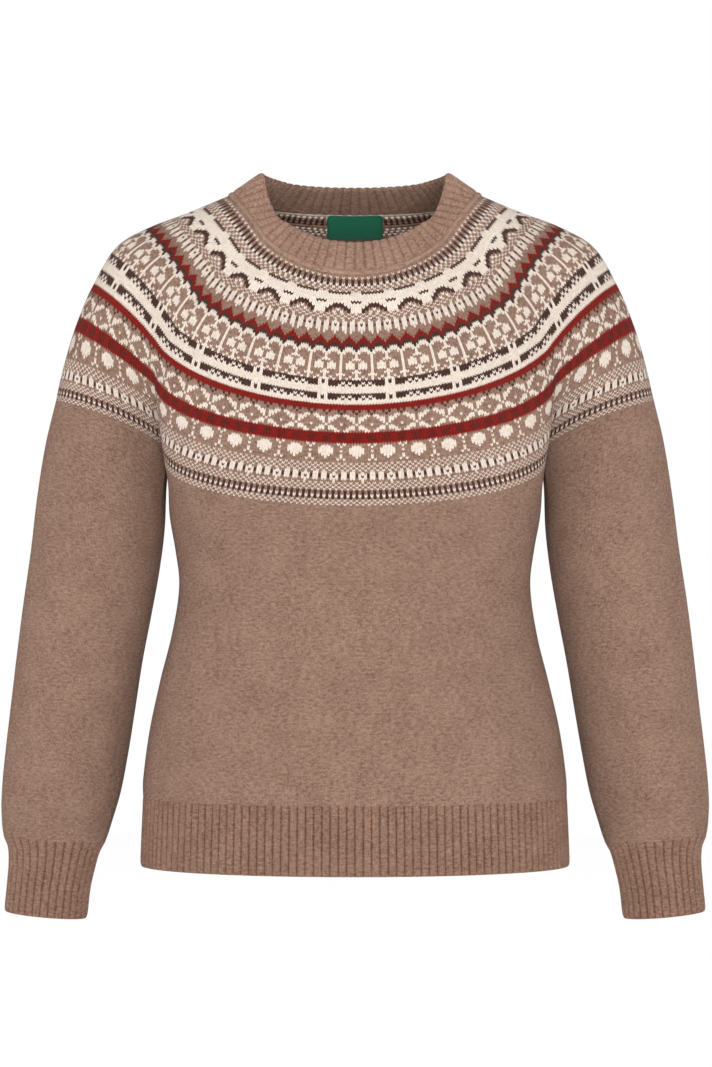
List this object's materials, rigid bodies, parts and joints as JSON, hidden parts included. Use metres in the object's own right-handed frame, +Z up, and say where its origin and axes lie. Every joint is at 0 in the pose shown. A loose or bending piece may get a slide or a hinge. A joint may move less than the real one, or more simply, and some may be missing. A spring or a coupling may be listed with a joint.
{
  "type": "fair isle jumper",
  "caption": "Hollow filled-out knitted jumper with a round two-colour patterned yoke, plain body and sleeves, and ribbed neck, cuffs and hem.",
  "frame": {"origin": "middle of the neck at the height of the shoulders, where the wearer holds the jumper up", "axes": "+X to the wearer's left, -Y to the front, +Z up"},
  "size_m": [0.6314, 0.2301, 0.6634],
  "materials": {
    "jersey": "plain brushed lambswool knit in mushroom brown heather",
    "yoke": "stranded two-colour knit in cream, dark brown, deep red and mushroom brown",
    "rib": "ribbed lambswool knit in mushroom brown heather",
    "label": "woven satin label, dark green, bare"
  },
  "bodies": {
    "root": {"neckband": "rib", "yoke": "yoke", "front": "jersey", "back": "jersey", "hem_rib_front": "rib", "hem_rib_back": "rib", "sleeve_left": "jersey", "sleeve_right": "jersey", "cuff_left": "rib", "cuff_right": "rib", "neck_label": "label"}
  },
  "joints": []
}
